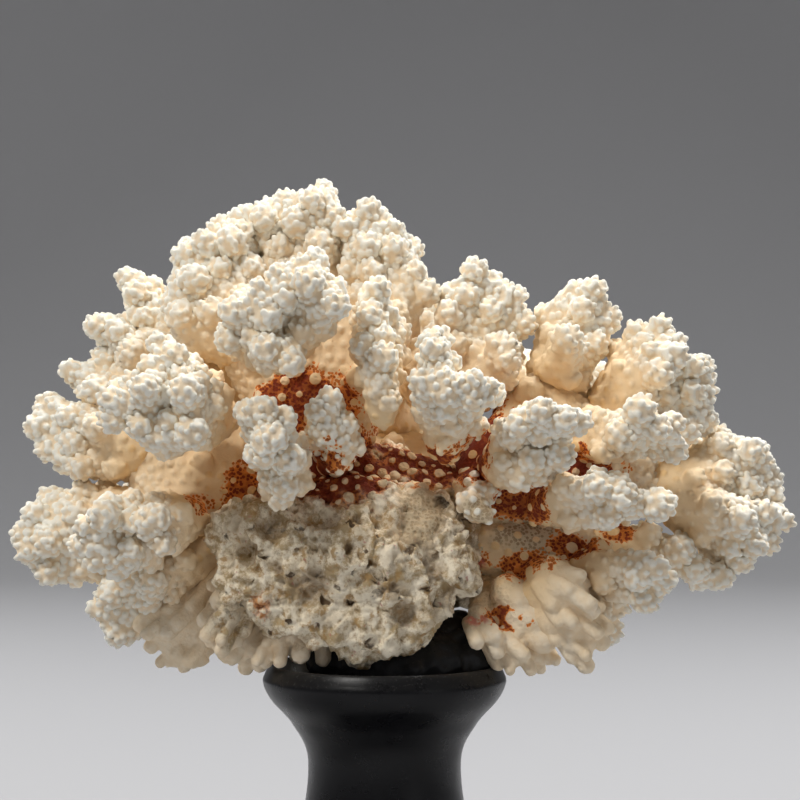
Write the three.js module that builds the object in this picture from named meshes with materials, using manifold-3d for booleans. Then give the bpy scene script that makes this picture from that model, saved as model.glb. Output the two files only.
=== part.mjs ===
// A branching coral skeleton bedded in black putty on a turned wooden stand.
// Millimetres, +Z up. The origin is the centre of the stand's flat underside and
// the coral's broken stem faces -Y.
import * as THREE from 'three';
import Module from 'manifold-3d';
import { ConvexGeometry } from 'three/addons/geometries/ConvexGeometry.js';
import { mergeVertices } from 'three/addons/utils/BufferGeometryUtils.js';

const wasm = await Module();
wasm.setup();

// Driving dimensions
const STAND_HEIGHT = 90;
const RIM_RADIUS = 37;
const RIM_THICK = 11;
const LIP_RADIUS = 34;
const DISH_DEPTH = 7;
const NECK_RADIUS = 23.3;
const NECK_HEIGHT = 61;
const FOOT_RADIUS = 48;
const FOOT_THICK = 10;
const STAND_SIDES = 24;
const SEAT_GAP = 0.35;        // clearance between pieces that touch
const SMALL_KNOB = 4.2;       // knobs no bigger than this are plain eight-sided
const BEAD_TWIST = 0.41;      // turns every knob's facets out of line with the axes

const CORAL = new THREE.MeshStandardMaterial({ color: 0xe9e4d6, roughness: 0.85, metalness: 0 });
const CRUST = new THREE.MeshStandardMaterial({ color: 0xb9ab94, roughness: 0.95, metalness: 0 });
const PAINT = new THREE.MeshStandardMaterial({ color: 0x0b0b0d, roughness: 0.35, metalness: 0 });
const PUTTY = new THREE.MeshStandardMaterial({ color: 0x0e0e10, roughness: 0.5, metalness: 0 });

// Each piece of coral is a heel, where it leaves its fork, and one or more fans. A fan is a
// blade that spreads from the heel to the knobs along its edge. A knob is [x, y, z, radius].

// The heart that the main limbs fork from
const STEM_HEART = {
  heel: [-8, 6, 142, 16],
  fans: [[[-30, 4, 136, 15], [-26, 8, 120, 12], [20, 8, 119, 12], [20, 6, 138, 13]]],
};

// The stem that was broken off the reef, crusted over, with its face to the front
const STEM_FACE = {
  heel: [-14, -24, 122, 9],
  fans: [[
    [14, -16, 138, 5], [-10, -14, 138, 9], [-42, -20, 130, 7], [-41, -22, 116, 7], [-22, -24, 106, 6],
    [-2, -26, 100, 5], [9, -24, 106, 6], [18, -20, 118, 7], [14, -16, 138, 5],
  ]],
};

const LIMBS = {
  crown_limb: { heel: [-16, 4, 154, 12], fans: [[[-40, 4, 182, 9], [-28, 8, 194, 9], [-4, 4, 188, 8]]] },
  left_limb: { heel: [-38, 6, 140, 12], fans: [[[-64, 12, 170, 8], [-70, 5, 152, 8], [-68, 0, 137, 8]]] },
  right_limb: { heel: [26, 6, 140, 12], fans: [[[48, 8, 172, 8], [66, 6, 160, 8], [80, 6, 143, 7]]] },
  lower_right_limb: { heel: [28, 4, 126, 10], fans: [[[60, 2, 126, 6], [50, -6, 119, 5], [46, 8, 118, 6]]] },
  back_limb: { heel: [-4, 18, 142, 12], fans: [[[-24, 34, 154, 9], [20, 34, 150, 9], [0, 32, 126, 9]]] },
};

// The branches that show from the front, from the crown down either side
const FRONT_BRANCHES = {
  crown_left: {
    heel: [-41, 4, 185, 9],
    fans: [[[-60, -2, 193, 6], [-60, 2, 206, 7], [-57, 8, 215, 7], [-47, 12, 221, 7]]],
  },
  crown_top: {
    heel: [-29, 14, 196, 9],
    fans: [
      [[-43, 16, 225, 7], [-34, 18, 228, 6.5]],
      [[-26, 14, 231, 5], [-19, 12, 232, 6], [-17, 12, 220, 5.5]],
    ],
  },
  crown_front: {
    heel: [-29, -20, 186, 7],
    fans: [
      [[-45, -36, 190, 5], [-35, -42, 198, 6], [-23, -38, 207, 6.5], [-15, -44, 199, 5.5]],
      [[-28, -44, 183, 5], [-36, -42, 185, 4.5]],
    ],
  },
  crown_right: {
    heel: [-1, 6, 187, 8],
    fans: [[[-11, 10, 221, 5], [-3, 12, 226, 6], [4, 10, 218, 6], [8, 6, 206, 6]]],
  },
  crown_ridge: {
    heel: [-1, -12, 187, 6],
    fans: [[[-3, -26, 201, 5.5], [-2, -33, 187, 4.5], [-1, -36, 175, 4.5], [0, -30, 165, 3.5]]],
  },
  middle_fan: {
    heel: [29, 8, 175, 8],
    fans: [
      [[21, 6, 203, 5], [29, 10, 206, 6], [37, 8, 201, 6], [44, 14, 195, 4]],
      [[37, -6, 187, 5.5]],
    ],
  },
  middle_ridge: {
    heel: [18, -18, 157, 5],
    fans: [
      [[15, -42, 189, 4.5], [16, -46, 181, 4]],
      [[13, -48, 175, 4.5], [24, -50, 174, 4.5], [33, -46, 175, 3]],
    ],
  },
  upper_right_fan: {
    heel: [50, 10, 176, 7],
    fans: [
      [[53, 12, 198, 4.5], [60, 12, 204, 6], [66, 10, 200, 5], [66, 8, 187, 4.5]],
      [[56, -8, 187, 5.5]],
    ],
  },
  right_shoulder: {
    heel: [66, 6, 165, 7],
    fans: [
      [[77, 8, 187, 5], [85, 4, 190, 6], [84, -6, 182, 6]],
      [[97, 6, 183, 4.5], [99, 6, 173, 5], [94, 4, 162, 5]],
    ],
  },
  right_shoulder_front: {
    heel: [60, -10, 158, 5.5],
    fans: [[[71, -32, 157, 4], [75, -34, 166, 5], [83, -30, 162, 4.5], [90, -20, 155, 3.5]]],
  },
  right_reach: {
    heel: [84, 6, 143, 7],
    fans: [
      [[105, 12, 156, 5], [114, 6, 154, 6], [119, 8, 146, 5]],
      [[119, 6, 134, 6], [112, 4, 126, 6], [105, -6, 135, 6.5], [109, 6, 118, 3]],
    ],
  },
  right_front: {
    heel: [48, -14, 139, 6],
    fans: [[[58, -36, 145, 4.5], [68, -40, 144, 5], [78, -36, 140, 4.5], [63, -32, 136, 3]]],
  },
  front_right: {
    heel: [34, -14, 151, 6],
    fans: [
      [[40, -44, 165, 5], [48, -47, 166, 4.5], [56, -42, 163, 3.5]],
      [[38, -38, 149, 4], [53, -36, 154, 4]],
    ],
  },
  lower_right: {
    heel: [68, 3, 126, 6],
    fans: [[[89, 0, 124, 5.5], [99, 2, 117, 4.5], [104, 3, 114, 3]]],
  },
  lower_right_front: {
    heel: [60, -8, 120, 5],
    fans: [
      [[78, -26, 122, 5], [83, -20, 114, 4], [75, -18, 111, 3.5]],
      [[71, -8, 104, 3], [65, -6, 99, 2.5]],
    ],
  },
  lower_right_smooth: {
    heel: [46, -8, 118, 5],
    fans: [[[53, -20, 115, 5.5], [57, -17, 105, 6], [59, -14, 94, 4]]],
  },
  foot_right: {
    heel: [32, 2, 112, 6],
    fans: [[[28, -16, 101, 3], [38, -14, 94, 4], [40, -8, 102, 5], [47, -6, 96, 4.5]]],
  },
  left_spire: {
    heel: [-58, 14, 178, 8],
    fans: [[[-77, 18, 205, 6.5], [-71, 16, 198, 6], [-67, 12, 190, 6]]],
  },
  left_upper: {
    heel: [-66, 12, 170, 8],
    fans: [
      [[-86, 14, 193, 6.5], [-78, 8, 187, 6], [-74, 8, 178, 6]],
      [[-95, 12, 179, 5.5], [-86, 6, 174, 6]],
    ],
  },
  left_front: {
    heel: [-50, -14, 165, 7],
    fans: [
      [[-63, -36, 184, 5.5], [-67, -44, 173, 6], [-77, -40, 168, 5.5]],
      [[-55, -46, 175, 4.5], [-57, -44, 160, 4.5], [-67, -42, 160, 5]],
    ],
  },
  left_reach: {
    heel: [-72, 5, 152, 7.5],
    fans: [
      [[-103, 8, 168, 6], [-104, 6, 158, 5], [-96, 2, 152, 5.5]],
      [[-89, 0, 163, 6]],
    ],
  },
  lower_left_outer: {
    heel: [-72, 0, 136, 7.5],
    fans: [[[-102, 4, 140, 4.5], [-107, 0, 129, 7], [-103, 2, 120, 6], [-93, 0, 118, 3.5]]],
  },
  lower_left_front: {
    heel: [-58, -12, 136, 6],
    fans: [
      [[-82, -30, 138, 5.5], [-86, -30, 129, 5.5], [-77, -26, 123, 5.5]],
      [[-69, -36, 135, 5.5], [-64, -34, 129, 3]],
    ],
  },
  lower_left_droop: {
    heel: [-56, -6, 123, 6.5],
    fans: [[[-70, -14, 117, 5], [-86, -2, 112, 4], [-85, -2, 103, 4], [-78, 0, 97, 3]]],
  },
  foot_left_outer: {
    heel: [-48, -4, 117, 6],
    fans: [[[-68, -8, 104, 4], [-64, -6, 93, 3], [-56, -6, 92, 3.5]]],
  },
  foot_left_stub: {
    heel: [-42, -12, 116, 6],
    fans: [[[-45, -18, 110, 6], [-46, -20, 101, 6]]],
  },
  foot_left: {
    heel: [-29, 0, 110, 5],
    fans: [[[-42, -12, 94, 3.5], [-34, -14, 98, 5], [-23, -14, 98, 5]]],
  },
  front_left: {
    heel: [-28, -20, 147, 6],
    fans: [
      [[-37, -46, 168, 4.5], [-30, -44, 166, 3.5], [-34, -50, 158, 5.5]],
      [[-26, -44, 154, 3.5], [-30, -40, 144, 4]],
    ],
  },
  front_spire: {
    heel: [-14, -14, 154, 6],
    fans: [[[-17, -36, 175, 3], [-17, -35, 166, 4.5], [-12, -31, 159, 5]]],
  },
  front_stub: {
    heel: [27, -12, 144, 6],
    fans: [[[28, -26, 139, 4.5], [28, -30, 136, 4]]],
  },
};

// The branches that fill the far side
const BACK_BRANCHES = {
  back_crown: {
    heel: [-22, 26, 190, 8],
    fans: [[[-46, 38, 207, 6], [-32, 44, 216, 6], [-16, 42, 218, 6], [-4, 36, 210, 5]]],
  },
  back_crown_right: {
    heel: [12, 24, 176, 8],
    fans: [[[2, 46, 196, 5.5], [14, 46, 203, 6], [26, 40, 198, 5.5]], [[14, 54, 184, 5]]],
  },
  back_crown_left: {
    heel: [-44, 30, 174, 8],
    fans: [[[-66, 42, 194, 6], [-56, 52, 198, 6], [-44, 58, 190, 6]], [[-60, 58, 180, 5]]],
  },
  back_middle: {
    heel: [0, 34, 162, 8],
    fans: [[[-14, 62, 178, 6], [0, 66, 180, 6], [10, 64, 168, 5]], [[-6, 70, 164, 6]]],
  },
  back_left: {
    heel: [-50, 26, 152, 9],
    fans: [[[-84, 38, 172, 6], [-78, 50, 164, 6], [-88, 44, 154, 5.5]], [[-66, 60, 158, 6]]],
  },
  back_left_low: {
    heel: [-52, 20, 132, 8],
    fans: [[[-86, 36, 138, 5.5], [-84, 44, 126, 6], [-68, 50, 120, 5]], [[-64, 56, 136, 6]]],
  },
  back_right: {
    heel: [46, 28, 158, 8],
    fans: [[[44, 54, 182, 6], [58, 50, 184, 6], [68, 42, 178, 5]], [[54, 60, 166, 5.5]]],
  },
  back_right_reach: {
    heel: [62, 24, 146, 8],
    fans: [[[88, 36, 164, 5.5], [96, 36, 152, 6], [90, 42, 140, 5]], [[74, 54, 152, 6]]],
  },
  back_right_low: {
    heel: [50, 20, 126, 7],
    fans: [[[82, 30, 126, 5.5], [76, 42, 118, 5], [60, 48, 116, 5]], [[66, 50, 130, 6]]],
  },
  back_low_left: {
    heel: [-24, 26, 126, 8],
    fans: [[[-44, 58, 126, 6], [-32, 64, 118, 6], [-22, 54, 108, 5]], [[-30, 68, 134, 6]]],
  },
  back_low_middle: {
    heel: [4, 30, 128, 8],
    fans: [[[-6, 64, 120, 5.5], [8, 66, 114, 6], [16, 56, 106, 4.5]], [[6, 70, 132, 6]]],
  },
  back_low_right: {
    heel: [26, 24, 132, 8],
    fans: [[[38, 60, 140, 6], [44, 60, 128, 6], [38, 50, 114, 5]], [[26, 68, 150, 6]]],
  },
};

// The putty, pressed down into the dish and up round the broken stem
const PUTTY_LUMP = {
  heel: [4, 4, 90, 14],
  fans: [
    [[-16, -10, 91, 7], [6, -20, 90, 7], [24, -8, 92, 8], [24, 8, 92, 8], [6, 22, 91, 8], [-16, 8, 92, 8]],
    [[10, -12, 97, 6], [20, 2, 99, 7], [2, 10, 101, 8], [-12, 2, 97, 8]],
  ],
};

function toSolid(geometry) {
  geometry.deleteAttribute('normal');
  geometry.deleteAttribute('uv');
  const merged = mergeVertices(geometry, 1e-4);
  const vertProperties = new Float32Array(merged.attributes.position.array);
  const triVerts = new Uint32Array(merged.index.array);
  return new wasm.Manifold(new wasm.Mesh({ numProp: 3, vertProperties, triVerts }));
}

function toMesh(solid, name, material) {
  const { vertProperties, triVerts } = solid.getMesh();
  const geometry = new THREE.BufferGeometry();
  geometry.setAttribute('position', new THREE.BufferAttribute(vertProperties, 3));
  geometry.setIndex(new THREE.BufferAttribute(triVerts, 1));
  geometry.computeVertexNormals();
  const mesh = new THREE.Mesh(geometry, material);
  mesh.name = name;
  return mesh;
}

function knob([x, y, z, radius], grow) {
  const geometry = new THREE.OctahedronGeometry(radius + grow, radius > SMALL_KNOB ? 1 : 0);
  geometry.rotateZ(BEAD_TWIST);
  geometry.rotateX(BEAD_TWIST);
  geometry.translate(x, y, z);
  return geometry;
}

function corners(geometry) {
  const position = geometry.attributes.position;
  const corner = (_, i) => new THREE.Vector3().fromBufferAttribute(position, i);
  return Array.from({ length: position.count }, corner);
}

// The part of a fan between two neighbouring knobs: the hull of the heel and both of them
function web(heel, knobs, grow) {
  return toSolid(new ConvexGeometry([heel, ...knobs].flatMap((k) => corners(knob(k, grow)))));
}

function fan(heel, knobs, grow) {
  const pairs = knobs.length > 1 ? knobs.slice(1).map((k, i) => [knobs[i], k]) : [knobs];
  return pairs.map((pair) => web(heel, pair, grow)).reduce((whole, part) => whole.add(part));
}

// A whole piece: its fans joined at the heel
function grown(piece, grow = 0) {
  return piece.fans.map((knobs) => fan(piece.heel, knobs, grow)).reduce((whole, part) => whole.add(part));
}

function stem(grow = 0) {
  return grown(STEM_HEART, grow).add(grown(STEM_FACE, grow));
}

function largestBody(solid) {
  return solid.decompose().reduce((best, body) => (body.volume() > best.volume() ? body : best));
}

function boxesMeet(a, b) {
  return [0, 1, 2].every((axis) => a.min[axis] < b.max[axis] && b.min[axis] < a.max[axis]);
}

// The stand is one turning: a foot ring, a waisted stem and a rounded rim round a shallow dish
function standProfile() {
  const rimMiddle = STAND_HEIGHT - RIM_THICK / 2;
  const waist = new THREE.SplineCurve([
    new THREE.Vector2(FOOT_RADIUS - 5, FOOT_THICK),
    new THREE.Vector2(35, 20),
    new THREE.Vector2(26, 40),
    new THREE.Vector2(NECK_RADIUS, NECK_HEIGHT),
    new THREE.Vector2(28, 72),
    new THREE.Vector2(RIM_RADIUS - 2.5, rimMiddle - 5),
  ]);
  return [
    new THREE.Vector2(0, 0),
    new THREE.Vector2(FOOT_RADIUS - 2, 0),
    new THREE.Vector2(FOOT_RADIUS, FOOT_THICK * 0.35),
    new THREE.Vector2(FOOT_RADIUS - 1, FOOT_THICK * 0.8),
    ...waist.getPoints(8),
    new THREE.Vector2(RIM_RADIUS, rimMiddle),
    new THREE.Vector2(RIM_RADIUS - 0.6, rimMiddle + 3),
    new THREE.Vector2(LIP_RADIUS + 1, STAND_HEIGHT),
    new THREE.Vector2(LIP_RADIUS, STAND_HEIGHT - 0.6),
    new THREE.Vector2(LIP_RADIUS - 3, STAND_HEIGHT - DISH_DEPTH),
    new THREE.Vector2(0, STAND_HEIGHT - DISH_DEPTH),
  ];
}

function turnedStand(grow = 0) {
  const geometry = new THREE.LatheGeometry(standProfile(), STAND_SIDES);
  geometry.rotateX(Math.PI / 2);
  if (grow > 0) {
    const spread = 1 + grow / RIM_RADIUS;
    geometry.scale(spread, spread, 1);
    geometry.translate(0, 0, grow);
  }
  return toSolid(geometry);
}

const coral = new THREE.Group();
const placed = [];

// Adds a piece, trimmed back from everything that is already in place
function place(name, solid, cutter, material) {
  const box = solid.boundingBox();
  const touching = placed.filter((other) => boxesMeet(box, other.box));
  const trimmed = touching.reduce((rest, other) => rest.subtract(other.cutter), solid);
  placed.push({ cutter, box: cutter.boundingBox() });
  coral.add(toMesh(largestBody(trimmed), name, material));
}

place('stand', turnedStand(), turnedStand(SEAT_GAP), PAINT);
place('stem', stem(), stem(SEAT_GAP), CRUST);
for (const [name, piece] of Object.entries({ ...LIMBS, ...FRONT_BRANCHES, ...BACK_BRANCHES })) {
  place(name, grown(piece), grown(piece, SEAT_GAP), CORAL);
}
place('putty', grown(PUTTY_LUMP), grown(PUTTY_LUMP, SEAT_GAP), PUTTY);

export default coral;
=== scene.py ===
"""A branching coral skeleton in black putty on a turned stand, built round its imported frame."""
import math
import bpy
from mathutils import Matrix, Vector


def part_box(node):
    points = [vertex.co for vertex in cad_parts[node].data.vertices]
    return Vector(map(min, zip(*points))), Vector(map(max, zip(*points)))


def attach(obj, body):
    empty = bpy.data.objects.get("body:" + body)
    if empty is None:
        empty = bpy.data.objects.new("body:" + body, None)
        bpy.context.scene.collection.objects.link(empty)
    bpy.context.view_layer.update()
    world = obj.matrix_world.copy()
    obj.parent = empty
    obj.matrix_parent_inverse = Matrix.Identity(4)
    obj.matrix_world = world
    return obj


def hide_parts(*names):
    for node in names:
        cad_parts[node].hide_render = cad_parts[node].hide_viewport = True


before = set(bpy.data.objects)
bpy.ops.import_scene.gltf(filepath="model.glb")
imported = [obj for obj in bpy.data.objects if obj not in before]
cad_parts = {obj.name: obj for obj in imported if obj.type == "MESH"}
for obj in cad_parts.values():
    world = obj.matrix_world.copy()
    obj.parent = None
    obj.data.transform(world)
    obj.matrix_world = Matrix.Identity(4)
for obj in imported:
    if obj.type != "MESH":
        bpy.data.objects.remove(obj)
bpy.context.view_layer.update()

import zlib

import bmesh
import bpy
import numpy as np
from mathutils import Vector, kdtree

bl_info = {
    "name": "Branching Coral on a Stand",
    "version": (1, 0, 0),
    "blender": (4, 5, 0),
    "location": "3D View > Sidebar > Coral",
    "description": "Grows warts, pores and stains on a branching coral and dresses its stand",
    "category": "Object",
}

MM = 0.001
BODY = "root"
STEM = "stem"
LIMBS = ("crown_limb", "left_limb", "right_limb", "lower_right_limb", "back_limb")
PLAIN = ("stand", "putty", STEM) + LIMBS
BRANCHES = tuple(sorted(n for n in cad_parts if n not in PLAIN))

# The heart of the colony, which every limb grows away from
HEART = np.array((-8.0, 8.0, 138.0)) * MM

# Pieces whose living surface was smooth when the colony died
SMOOTH_BRANCHES = (
    "foot_left", "foot_left_outer", "foot_left_stub", "foot_right", "lower_right_smooth")

# Colours of the weathered crust and of small marks, and of the painted shade in pits and pores
CREAM = (1.0, 0.90, 0.71, 1)
TAN = (0.46, 0.33, 0.18, 1)
OCHRE = (0.46, 0.27, 0.09, 1)
PINK_GRAIN = (0.55, 0.20, 0.15, 1)
PINK_CRUST = (0.70, 0.22, 0.15, 1)
WORN_BROWN = (0.30, 0.20, 0.11, 1)
PIT_DIRT_AND_SHADE = (0.085, 0.045, 0.02, 1)
PORE_SHADE = (0.34, 0.22, 0.11, 1)
PAINT_DUST = (0.34, 0.33, 0.31, 1)
PUTTY_DUST = (0.30, 0.28, 0.25, 1)

# The dished rim's radius as a share of the foot's
RIM_TO_FOOT = 37 / 48

# Branches on the far side carry this share of the others' triangles
BACK_DETAIL = 0.6

# Each region below is a centre, half sizes and a strength, in millimetres

# Red-brown stains in the hollows
STAINS = (
    ((-14, -10, 151), (20, 24, 13), 1.0),
    ((-22, -4, 170), (15, 18, 13), 0.9),
    ((12, -8, 154), (32, 24, 10), 1.0),
    ((28, -4, 160), (17, 22, 12), 1.0),
    ((52, -6, 150), (22, 18, 9), 1.0),
    ((43, -12, 140), (13, 16, 8), 0.8),
    ((-42, -8, 143), (9, 16, 8), 0.7),
    ((43, -9, 121), (10, 14, 5), 0.6),
    ((56, -6, 127), (8, 14, 5), 0.85),
    ((70, -6, 131), (7, 14, 4), 0.6),
    ((35, -10, 105), (8, 14, 4), 0.9),
    ((-54, -12, 139), (8, 12, 4), 0.4),
    ((-36, -24, 110), (4, 12, 5), 0.5),
    ((28, -6, 121), (5, 14, 5), 0.5),
)

# Bare skeleton, without warts, where the polyp pits show as a net
BARE = (
    ((11, -22, 136), (10, 12, 12), 0.8),
    ((46, -6, 130), (15, 16, 11), 1.0),
    ((28, -31, 137), (7, 10, 7), 0.8),
    ((28, -6, 112), (14, 14, 11), 0.8),
    ((-14, -10, 150), (18, 20, 14), 0.8),
    ((24, -4, 158), (20, 22, 11), 0.8),
)

# Small pink crusts
PINK = (
    ((29, -6, 121), (2.0, 12, 2.0), 0.9),
    ((28, -15, 105), (4.0, 10, 1.6), 0.9),
    ((-27, -20, 103), (2.0, 8, 1.6), 0.7),
)

# Webs that close the gaps between smooth blades: centres and radii
WEBS = {
    "foot_right": (((39, -11, 112), 5.5), ((43, -12, 106), 5.5), ((46, -13, 100), 4.5)),
    "lower_right_smooth": (((46, -14, 112), 4.5), ((49, -15, 105), 4.5)),
}

# Crust beyond the broken stem
CRUSTED = (
    ((-46, -24, 106), (7, 14, 8), 1.0),
    ((-24, -24, 103), (8, 12, 6), 0.7),
    ((24, -24, 108), (6, 12, 8), 0.7),
)

# Smooth dents worn into the broken stem: centre, radius and depth
DENTS = (
    ((-34, -27, 133), 5.5, 3.0),
    ((-39, -28, 126), 4.5, 2.6),
    ((-21, -32, 116), 7.5, 3.6),
    ((-8, -27, 134), 3.0, 2.8),
    ((-4, -32, 121), 2.6, 2.4),
    ((2, -32, 116), 2.2, 2.4),
    ((6, -31, 108), 4.5, 2.0),
    ((14, -28, 121), 4.0, 2.2),
    ((20, -27, 112), 4.5, 2.4),
    ((-30, -30, 120), 3.5, 1.8),
    ((-12, -31, 127), 4.0, 1.8),
    ((-44, -26, 113), 3.5, 2.0),
)


# ---------------------------------------------------------------- settings

class CoralSettings(bpy.types.PropertyGroup):
    """Sizes and colours of the coral."""
    lobe_spacing: bpy.props.FloatProperty(
        name="Lobe Spacing", description="Distance between the lobes of a club",
        default=5.6 * MM, min=3 * MM, max=15 * MM, unit="LENGTH")
    lobe_radius: bpy.props.FloatProperty(
        name="Lobe Radius", description="Radius of the lobes of a club",
        default=3.2 * MM, min=1 * MM, max=8 * MM, unit="LENGTH")
    wart_spacing: bpy.props.FloatProperty(
        name="Wart Spacing", description="Distance between the warts near the tips",
        default=1.95 * MM, min=1.2 * MM, max=8 * MM, unit="LENGTH")
    wart_radius: bpy.props.FloatProperty(
        name="Wart Radius", description="Radius of a wart",
        default=1.03 * MM, min=0.5 * MM, max=4 * MM, unit="LENGTH")
    pore_spacing: bpy.props.FloatProperty(
        name="Pore Spacing", description="Distance between the polyp pits",
        default=1.1 * MM, min=0.5 * MM, max=3 * MM, unit="LENGTH")
    voxel: bpy.props.FloatProperty(
        name="Surface Grain", description="Size of the cells the finished surface is cut from",
        default=0.48 * MM, min=0.3 * MM, max=2 * MM, unit="LENGTH")
    wart_height: bpy.props.FloatProperty(
        name="Wart Height", description="How far a wart stands out", default=1.1 * MM,
        min=0.2 * MM, max=4 * MM, unit="LENGTH")
    detail: bpy.props.FloatProperty(
        name="Detail", description="Triangles on each square millimetre of coral",
        default=3.8, min=0.5, max=12)
    tip_colour: bpy.props.FloatVectorProperty(
        name="Tip Colour", description="Bleached tips", subtype="COLOR", size=4,
        default=(0.93, 0.90, 0.80, 1), min=0, max=1)
    root_colour: bpy.props.FloatVectorProperty(
        name="Root Colour", description="Honey colour where branches leave their fork",
        subtype="COLOR", size=4, default=(0.86, 0.60, 0.30, 1), min=0, max=1)
    bare_colour: bpy.props.FloatVectorProperty(
        name="Bare Colour", description="Net between the polyp pits of bare skeleton",
        subtype="COLOR", size=4, default=(0.66, 0.54, 0.36, 1), min=0, max=1)
    stain_colour: bpy.props.FloatVectorProperty(
        name="Stain Colour", description="Middle of a stain", subtype="COLOR", size=4,
        default=(0.22, 0.030, 0.008, 1), min=0, max=1)
    stain_edge_colour: bpy.props.FloatVectorProperty(
        name="Stain Edge Colour", description="Edge of a stain", subtype="COLOR", size=4,
        default=(0.82, 0.27, 0.045, 1), min=0, max=1)
    crust_colour: bpy.props.FloatVectorProperty(
        name="Crust Colour", description="Weathered crust on the broken stem",
        subtype="COLOR", size=4, default=(0.52, 0.39, 0.22, 1), min=0, max=1)


class StandSettings(bpy.types.PropertyGroup):
    """Finish of the stand and the putty."""
    paint_colour: bpy.props.FloatVectorProperty(
        name="Paint Colour", description="Black paint on the stand", subtype="COLOR", size=4,
        default=(0.004, 0.004, 0.005, 1), min=0, max=1)
    putty_colour: bpy.props.FloatVectorProperty(
        name="Putty Colour", description="Black putty in the dish", subtype="COLOR", size=4,
        default=(0.009, 0.009, 0.010, 1), min=0, max=1)
    segments: bpy.props.IntProperty(
        name="Segments", description="Steps round the turned stand", default=128, min=24, max=512)


class StudioSettings(bpy.types.PropertyGroup):
    """Backdrop, lights and camera."""
    backdrop_colour: bpy.props.FloatVectorProperty(
        name="Backdrop Colour", description="Floor and curved wall", subtype="COLOR", size=4,
        default=(0.38, 0.38, 0.39, 1), min=0, max=1)
    lens: bpy.props.FloatProperty(
        name="Lens", description="Focal length in millimetres", default=110, min=20, max=300)
    distance: bpy.props.FloatProperty(
        name="Camera Distance", description="From the camera to the coral's middle",
        default=745 * MM, min=0.2, max=5, unit="LENGTH")
    elevation: bpy.props.FloatProperty(
        name="Camera Elevation", description="How far the camera looks down",
        default=0.0, subtype="ANGLE")


# ---------------------------------------------------------------- mesh tools

def seed_of(name):
    return zlib.crc32(name.encode())


def smoothstep(low, high, value):
    t = np.clip((value - low) / (high - low), 0, 1)
    return t * t * (3 - 2 * t)


def new_object(name, mesh):
    obj = bpy.data.objects.new(name, mesh)
    bpy.context.scene.collection.objects.link(obj)
    return obj


def arrays(mesh):
    """A mesh's points, triangles, triangle normals and triangle areas."""
    mesh.calc_loop_triangles()
    points = np.empty(len(mesh.vertices) * 3, np.float32)
    mesh.vertices.foreach_get("co", points)
    points = points.reshape(-1, 3).astype(float)
    tris = np.empty(len(mesh.loop_triangles) * 3, np.int32)
    mesh.loop_triangles.foreach_get("vertices", tris)
    tris = tris.reshape(-1, 3)
    cross = np.cross(points[tris[:, 1]] - points[tris[:, 0]], points[tris[:, 2]] - points[tris[:, 0]])
    length = np.linalg.norm(cross, axis=1)
    return points, tris, cross / np.maximum(length, 1e-20)[:, None], length / 2


def point_normals(mesh):
    normals = np.empty(len(mesh.vertices) * 3, np.float32)
    mesh.vertices.foreach_get("normal", normals)
    return normals.reshape(-1, 3).astype(float)


def mesh_from(name, points, tris):
    mesh = bpy.data.meshes.new(name)
    mesh.vertices.add(len(points))
    mesh.vertices.foreach_set("co", points.astype(np.float32).ravel())
    mesh.loops.add(len(tris) * 3)
    mesh.loops.foreach_set("vertex_index", tris.astype(np.int32).ravel())
    mesh.polygons.add(len(tris))
    mesh.polygons.foreach_set("loop_start", np.arange(0, len(tris) * 3, 3, dtype=np.int32))
    mesh.update(calc_edges=True)
    mesh.validate()
    return mesh


def reworked(name, mesh, voxel=None, smooth=0, ratio=None):
    """The mesh cut again from cells, smoothed and thinned out, as a new mesh."""
    obj = new_object("work", mesh)
    if voxel:
        cells = obj.modifiers.new("Cells", "REMESH")
        cells.mode = "VOXEL"
        cells.voxel_size = voxel
        cells.use_smooth_shade = True
    if smooth:
        ease = obj.modifiers.new("Ease", "SMOOTH")
        ease.factor = 0.5
        ease.iterations = smooth
    if ratio and ratio < 1:
        thin = obj.modifiers.new("Thin", "DECIMATE")
        thin.ratio = ratio
    depsgraph = bpy.context.evaluated_depsgraph_get()
    result = bpy.data.meshes.new_from_object(obj.evaluated_get(depsgraph))
    result.name = name
    bpy.data.objects.remove(obj)
    if mesh.users == 0:
        bpy.data.meshes.remove(mesh)
    return result


def ball_template(subdivisions):
    bm = bmesh.new()
    bmesh.ops.create_icosphere(bm, subdivisions=subdivisions, radius=1)
    bm.verts.ensure_lookup_table()
    points = np.array([v.co[:] for v in bm.verts])
    tris = np.array([[v.index for v in f.verts] for f in bm.faces])
    bm.free()
    return points, tris


def frames_along(axes):
    """Right-handed frames whose third direction is each axis."""
    helper = np.where(np.abs(axes[:, 2:3]) < 0.9, (0.0, 0.0, 1.0), (1.0, 0.0, 0.0))
    first = unit(np.cross(helper, axes))
    return first, np.cross(axes, first)


def balls(centres, axes, radii, stretch, template):
    """Many balls in one set of points and triangles, each drawn out along its axis to a rod
    with round ends."""
    base, tris = template
    first, second = frames_along(axes)
    length = base[None, :, 2:3] + np.sign(base[None, :, 2:3]) * (stretch[:, None, None] - 1)
    points = (
        base[None, :, 0:1] * first[:, None, :]
        + base[None, :, 1:2] * second[:, None, :]
        + length * axes[:, None, :]
    ) * radii[:, None, None] + centres[:, None, :]
    shift = np.arange(len(centres))[:, None, None] * len(base)
    return points.reshape(-1, 3), (tris[None] + shift).reshape(-1, 3)


def joined(parts):
    points = np.concatenate([p for p, _ in parts])
    shifts = np.cumsum([0] + [len(p) for p, _ in parts[:-1]])
    return points, np.concatenate([t + s for (_, t), s in zip(parts, shifts)])


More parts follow.
